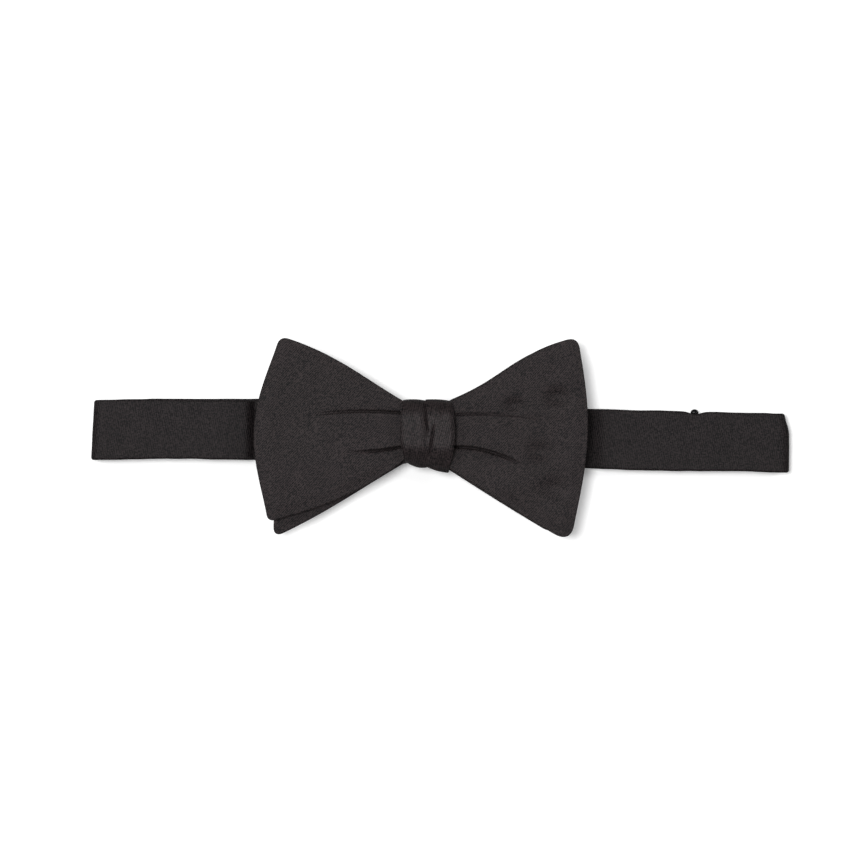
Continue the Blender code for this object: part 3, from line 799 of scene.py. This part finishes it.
def knot_relief(x, y):
    """Height of the knot's front: a dome each side of two long creases, and soft drapes."""
    one = np.interp(y, [2.0, 12.0], [-0.1, -1.3])
    two = np.interp(y, [-11.0, -6.4, 3.6], [-0.1, 0.5, 1.9])
    step_one = np.exp(-np.abs(x - one) / 0.30) * 1.25
    step_two = np.exp(-np.abs(x - two) / 0.30) * 1.35
    dome = 0.95 * np.exp(-(((x + 4.9) / 4.2) ** 4)) + 0.95 * np.exp(-(((x - 5.2) / 3.9) ** 4))
    over = 0.35 * smooth((x - one) / 0.5) * np.exp(-np.maximum(x - one, 0) / 2.5)
    drape = 0.16 * np.sin(x * 1.9 + y * 0.12) * np.exp(-(((y - 9.5) / 5.0) ** 2))
    drape = drape + 0.32 * np.sin(x * 1.5 + 0.8) * np.exp(-(((y + 9.5) / 4.0) ** 2))
    creases = step_one * smooth((y + 0.5) / 5.0) + step_two * smooth((5.5 - y) / 4.5)
    fall = 0.055 * np.maximum(-2.5 - y, 0) ** 2 + 0.045 * np.maximum(y - 6.0, 0) ** 2
    return dome + over + drape - creases - fall


def knot():
    """The wrap: a band of cloth round the waist, with two lobes and long creases in front."""
    around, rows = 240, 140
    wall, seam = 0.9, 0.05
    reach_y, widest_y = 12.0, 1.5
    turns = np.linspace(-pi / 2 + seam, 3 * pi / 2 - seam, around)
    share = np.linspace(-1, 1, rows)
    share = 0.6 * share + 0.4 * np.sin(pi / 2 * share)
    middle_height = (KNOT_LOW[2] + KNOT_HIGH[2]) / 2
    half_height = (KNOT_HIGH[2] - KNOT_LOW[2]) / 2
    # Its profile is an ellipse made boxier, more so at the top than at the bottom.
    c, s = np.cos(turns), np.sin(turns)
    flat = np.where(c > 0, 0.58, 0.78)
    y_unit = np.sign(c) * np.abs(c) ** flat
    z_unit = np.sign(s) * np.abs(s) ** 0.7
    grids = []
    for inset in (0.0, wall):
        grid = np.zeros((around, rows, 3))
        for k in range(around):
            tall = (y_unit[k] * reach_y - widest_y) ** 2
            left = 9.5 - 0.0085 * tall
            right = 9.4 - 0.0125 * tall
            x = np.where(share < 0, share * left, share * right) * (1 - 0.02 * inset)
            reach = np.where(y_unit[k] > 0, knot_edge_top(x), knot_edge_bottom(x)) - inset
            y = y_unit[k] * reach
            front = max(0.0, z_unit[k])
            spare = 0.7 if z_unit[k] > 0 else 0.0
            z = middle_height + z_unit[k] * (half_height - spare - inset)
            edge = 1 - np.abs(share)
            z = z + front * (0.55 * np.sqrt(np.clip(edge * 7, 0, 1)) - 0.35)
            if inset == 0.0:
                z = z + front * knot_relief(x, y)
                z = z + front * ripple(np.stack([x, y, z], 1), 5.0, 11) * 0.18
            grid[k] = np.stack([x, y, z], 1)
        grids.append(grid)
    made = shell("knot_cloth", grids[0], grids[1], KNOT_SATIN)
    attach(made, "bow")
    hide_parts("knot_wrap", "knot_lining", "waist_thread")


# ---------------------------------------------------------------- clasp, adjuster and stitches

# How far the adjuster takes to shift from the clasp's centre line to the slider's.
ADJUSTER_RAMP = 16.0


def round_thread(name, path, radius):
    """A round thread along a path."""
    sides = 10
    spots = np.array(path)
    along = np.gradient(spots, axis=0)
    rings = []
    side = np.array([0.0, 0.0, 1.0])
    for at, spot in enumerate(spots):
        way = along[at] / np.linalg.norm(along[at])
        side = side - way * (side @ way)
        side /= np.linalg.norm(side)
        up = np.cross(way, side)
        angles = np.linspace(0, 2 * pi, sides, endpoint=False)
        rings.append(spot + radius * (np.outer(np.cos(angles), side) + np.outer(np.sin(angles), up)))
    return ring_loft(name, rings, THREAD)


def stitches(name, cad_node, body, along_axis, lift=0.0):
    """A zigzag seam: one thread that dips at each turn, in the place of its CAD node."""
    count = 14
    low, high = node_box(cad_node)
    middle = (low + high) / 2
    half = (high - low) / 2 * 0.86
    path = []
    steps = count * 8
    for k in range(steps + 1):
        t = k / steps
        swing = np.interp((t * count) % 2, [0, 1, 2], [-1, 1, -1])
        spot = middle.copy()
        spot[along_axis] += half[along_axis] * (2 * t - 1)
        spot[1 - along_axis] += half[1 - along_axis] * swing
        spot[2] += 0.12 * (1 - swing * swing) - 0.05 + lift
        path.append(spot)
    made = round_thread(name, path, 0.16)
    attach(made, body)
    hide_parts(cad_node)


def adjuster_y(share, x):
    """Centre line of the adjuster: from the clasp across to the slider."""
    return CLASP_Y + (SLIDER_Y - CLASP_Y) * float(np.clip((x - RIGHT_HINGE_X) / ADJUSTER_RAMP, 0, 1))


def adjuster_strap():
    """The narrow strap, whose end loops round the eye's bar."""
    pivot_x, pivot_z = RIGHT_HINGE_X, CLASP_Z
    strap_end = node_box("adjuster_strap")[1][0]
    path = straight(strap_end, pivot_x + ADJUSTER_RAMP, pivot_z)
    path += [(pivot_x + 10.0, pivot_z - 0.45), (pivot_x + 5.0, pivot_z - 0.9)]
    path += arc(pivot_x, pivot_z, 1.2, 285, 70, 22)
    path += [(pivot_x + 2.0, pivot_z + 1.25), (pivot_x + 3.6, pivot_z + 1.45)]
    made = band("adjuster_webbing", path[::-1], adjuster_y, 14.0, 0.56, WEBBING, wander=0.02, seed=14)
    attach(made, "right_rear_strap")
    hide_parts("adjuster_strap")


def adjuster_tail():
    """The doubled-back tail: a length, and the turn round the slider's bar."""
    tail_x = node_box("adjuster_tail")[0][0]
    turn_x = SLIDER_X - 3.0
    turn_radius = 1.05
    width, thickness = 13.0, 0.46

    path = [(tail_x, CLASP_Z + 1.5)]
    path += [(RIGHT_HINGE_X + 9.0, BAR_Z + 0.35), (RIGHT_HINGE_X + 14.0, BAR_Z + 0.8)]
    path += straight(RIGHT_HINGE_X + 20.0, turn_x, BAR_Z + turn_radius)
    made = band("adjuster_tail_webbing", path, adjuster_y, width, thickness, WEBBING, wander=0.0, seed=15)
    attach(made, "right_rear_strap")
    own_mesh(made)
    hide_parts("adjuster_tail")

    path = [(turn_x + 0.05, BAR_Z + turn_radius), (SLIDER_X - 1.5, BAR_Z + turn_radius)]
    path += arc(SLIDER_X, BAR_Z, turn_radius, 90, -90, 16)
    path += straight(SLIDER_X - 0.8, SLIDER_X - 9.0, BAR_Z - turn_radius)
    made = band("adjuster_tail_turn", path, adjuster_y, width, thickness, WEBBING, wander=0.0, seed=15)
    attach(made, "slider")


def tail_tack():
    """The thread that holds the tail's end, wound to and fro."""
    low, high = node_box("tail_tack")
    windings, steps = 20, 160
    path = []
    for k in range(steps + 1):
        t = k / steps
        swing = np.interp((t * windings) % 2, [0, 1, 2], [0, 1, 0])
        spot = (low[0] + 0.3 + (high[0] - low[0] - 0.6) * swing, low[1] + (high[1] - low[1]) * t)
        path.append((*spot, (low[2] + high[2]) / 2 + 0.25 * sin(t * 90)))
    made = round_thread("tail_tack_thread", path, 0.24)
    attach(made, "slider")
    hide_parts("tail_tack")


def hook_loop():
    """The narrow folded strip that ties the hook to the nape band."""
    loop_y = middle_y("hook_loop")
    bar_x = node_box("hook")[0][0] + WIRE_RADIUS
    path = straight(node_box("hook_loop")[0][0], NAPE_END_X + 1.0, REAR_MID)
    path += [(bar_x - 4.4, REAR_MID - 0.3), (bar_x - 2.2, CLASP_Z - 1.2)]
    path += arc(bar_x, CLASP_Z, 1.25, 258, 480, 26)
    path += [(bar_x - 2.0, CLASP_Z + 0.75), (bar_x - 3.2, CLASP_Z + 0.45)]
    made = band("hook_loop_cloth", path, lambda share, x: loop_y, 12.0, 0.4, WEBBING, wander=0.01, seed=17)
    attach(made, "rear_band")
    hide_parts("hook_loop")


def hardware():
    """Looks for the small metal parts, which keep their CAD shapes."""
    looks = {"slider_frame": ENAMEL, "slider_bar": ENAMEL, "hook": PLATE, "eye": PLATE}
    for name, look in looks.items():
        for slot in frame["nodes"][name].material_slots:
            slot.material = look


# ---------------------------------------------------------------- stage


def floor():
    """A plain pale table top just under the tie; it throws no light back onto the cloth."""
    size, depth = 3.0, -0.0002
    mesh = bpy.data.meshes.new("table_top")
    corners = [(-size, -size, depth), (size, -size, depth), (size, size, depth), (-size, size, depth)]
    mesh.from_pydata(corners, [], [(0, 1, 2, 3)])
    made = bpy.data.objects.new("table_top", mesh)
    bpy.context.scene.collection.objects.link(made)
    look, _, shader = start_material("white_table")
    shader.inputs["Base Color"].default_value = (0.93, 0.93, 0.93, 1.0)
    shader.inputs["Roughness"].default_value = 0.9
    shader.inputs["Specular IOR Level"].default_value = 0.1
    shader.inputs["Emission Color"].default_value = (1.0, 1.0, 1.0, 1.0)
    shader.inputs["Emission Strength"].default_value = 0.18
    mesh.materials.append(look)
    made.visible_diffuse = False
    made.visible_glossy = False


def area_light(name, spot, size, power):
    """A round soft light that points at the knot."""
    data = bpy.data.lights.new(name, "AREA")
    data.shape = "DISK"
    data.size = size
    data.energy = power
    made = bpy.data.objects.new(name, data)
    bpy.context.scene.collection.objects.link(made)
    made.location = spot
    made.rotation_euler = (-Vector(spot)).to_track_quat("-Z", "Y").to_euler()


def lights():
    """Two side lights, a strong one overhead and a little light from all round."""
    area_light("key_left", (-1.15, 0.45, 0.95), 0.5, 6.0)
    area_light("key_right", (1.15, 0.35, 0.95), 0.4, 5.2)
    area_light("overhead", (-0.35, 0.12, 1.75), 0.6, 23.5)
    world = bpy.data.worlds.new("studio")
    world.use_nodes = True
    background = world.node_tree.nodes["Background"]
    background.inputs["Color"].default_value = (1, 1, 1, 1)
    background.inputs["Strength"].default_value = 0.24
    bpy.context.scene.world = world
    bpy.context.scene.view_settings.view_transform = "Standard"


def camera():
    """Straight above the tie, with a long lens."""
    data = bpy.data.cameras.new("camera")
    view_width = 0.2967
    distance = 1.6
    data.sensor_width = 36.0
    data.lens = data.sensor_width * distance / view_width
    aim_x, aim_y = 0.0007, 0.0021
    made = bpy.data.objects.new("camera", data)
    bpy.context.scene.collection.objects.link(made)
    made.location = (aim_x, aim_y, distance + FRONT_MID * MM)
    made.rotation_euler = (0.0, 0.0, 0.0)
    bpy.context.scene.camera = made


def main():
    hardware()
    left_band()
    right_band()
    centre_band()
    nape_band()
    bow("rear_bow", REAR_WINGS, REAR_BOW_MID, pleated=False)
    bow("front_bow", FRONT_WINGS, FRONT_BOW_MID, pleated=True)
    knot()
    hook_loop()
    adjuster_strap()
    adjuster_tail()
    tail_tack()
    stitches("nape_seam_thread", "nape_end_stitching", "rear_band", 1)
    stitches("knot_seam_thread", "knot_stitches", "bow", 0, lift=0.3)
    floor()
    lights()
    camera()


main()
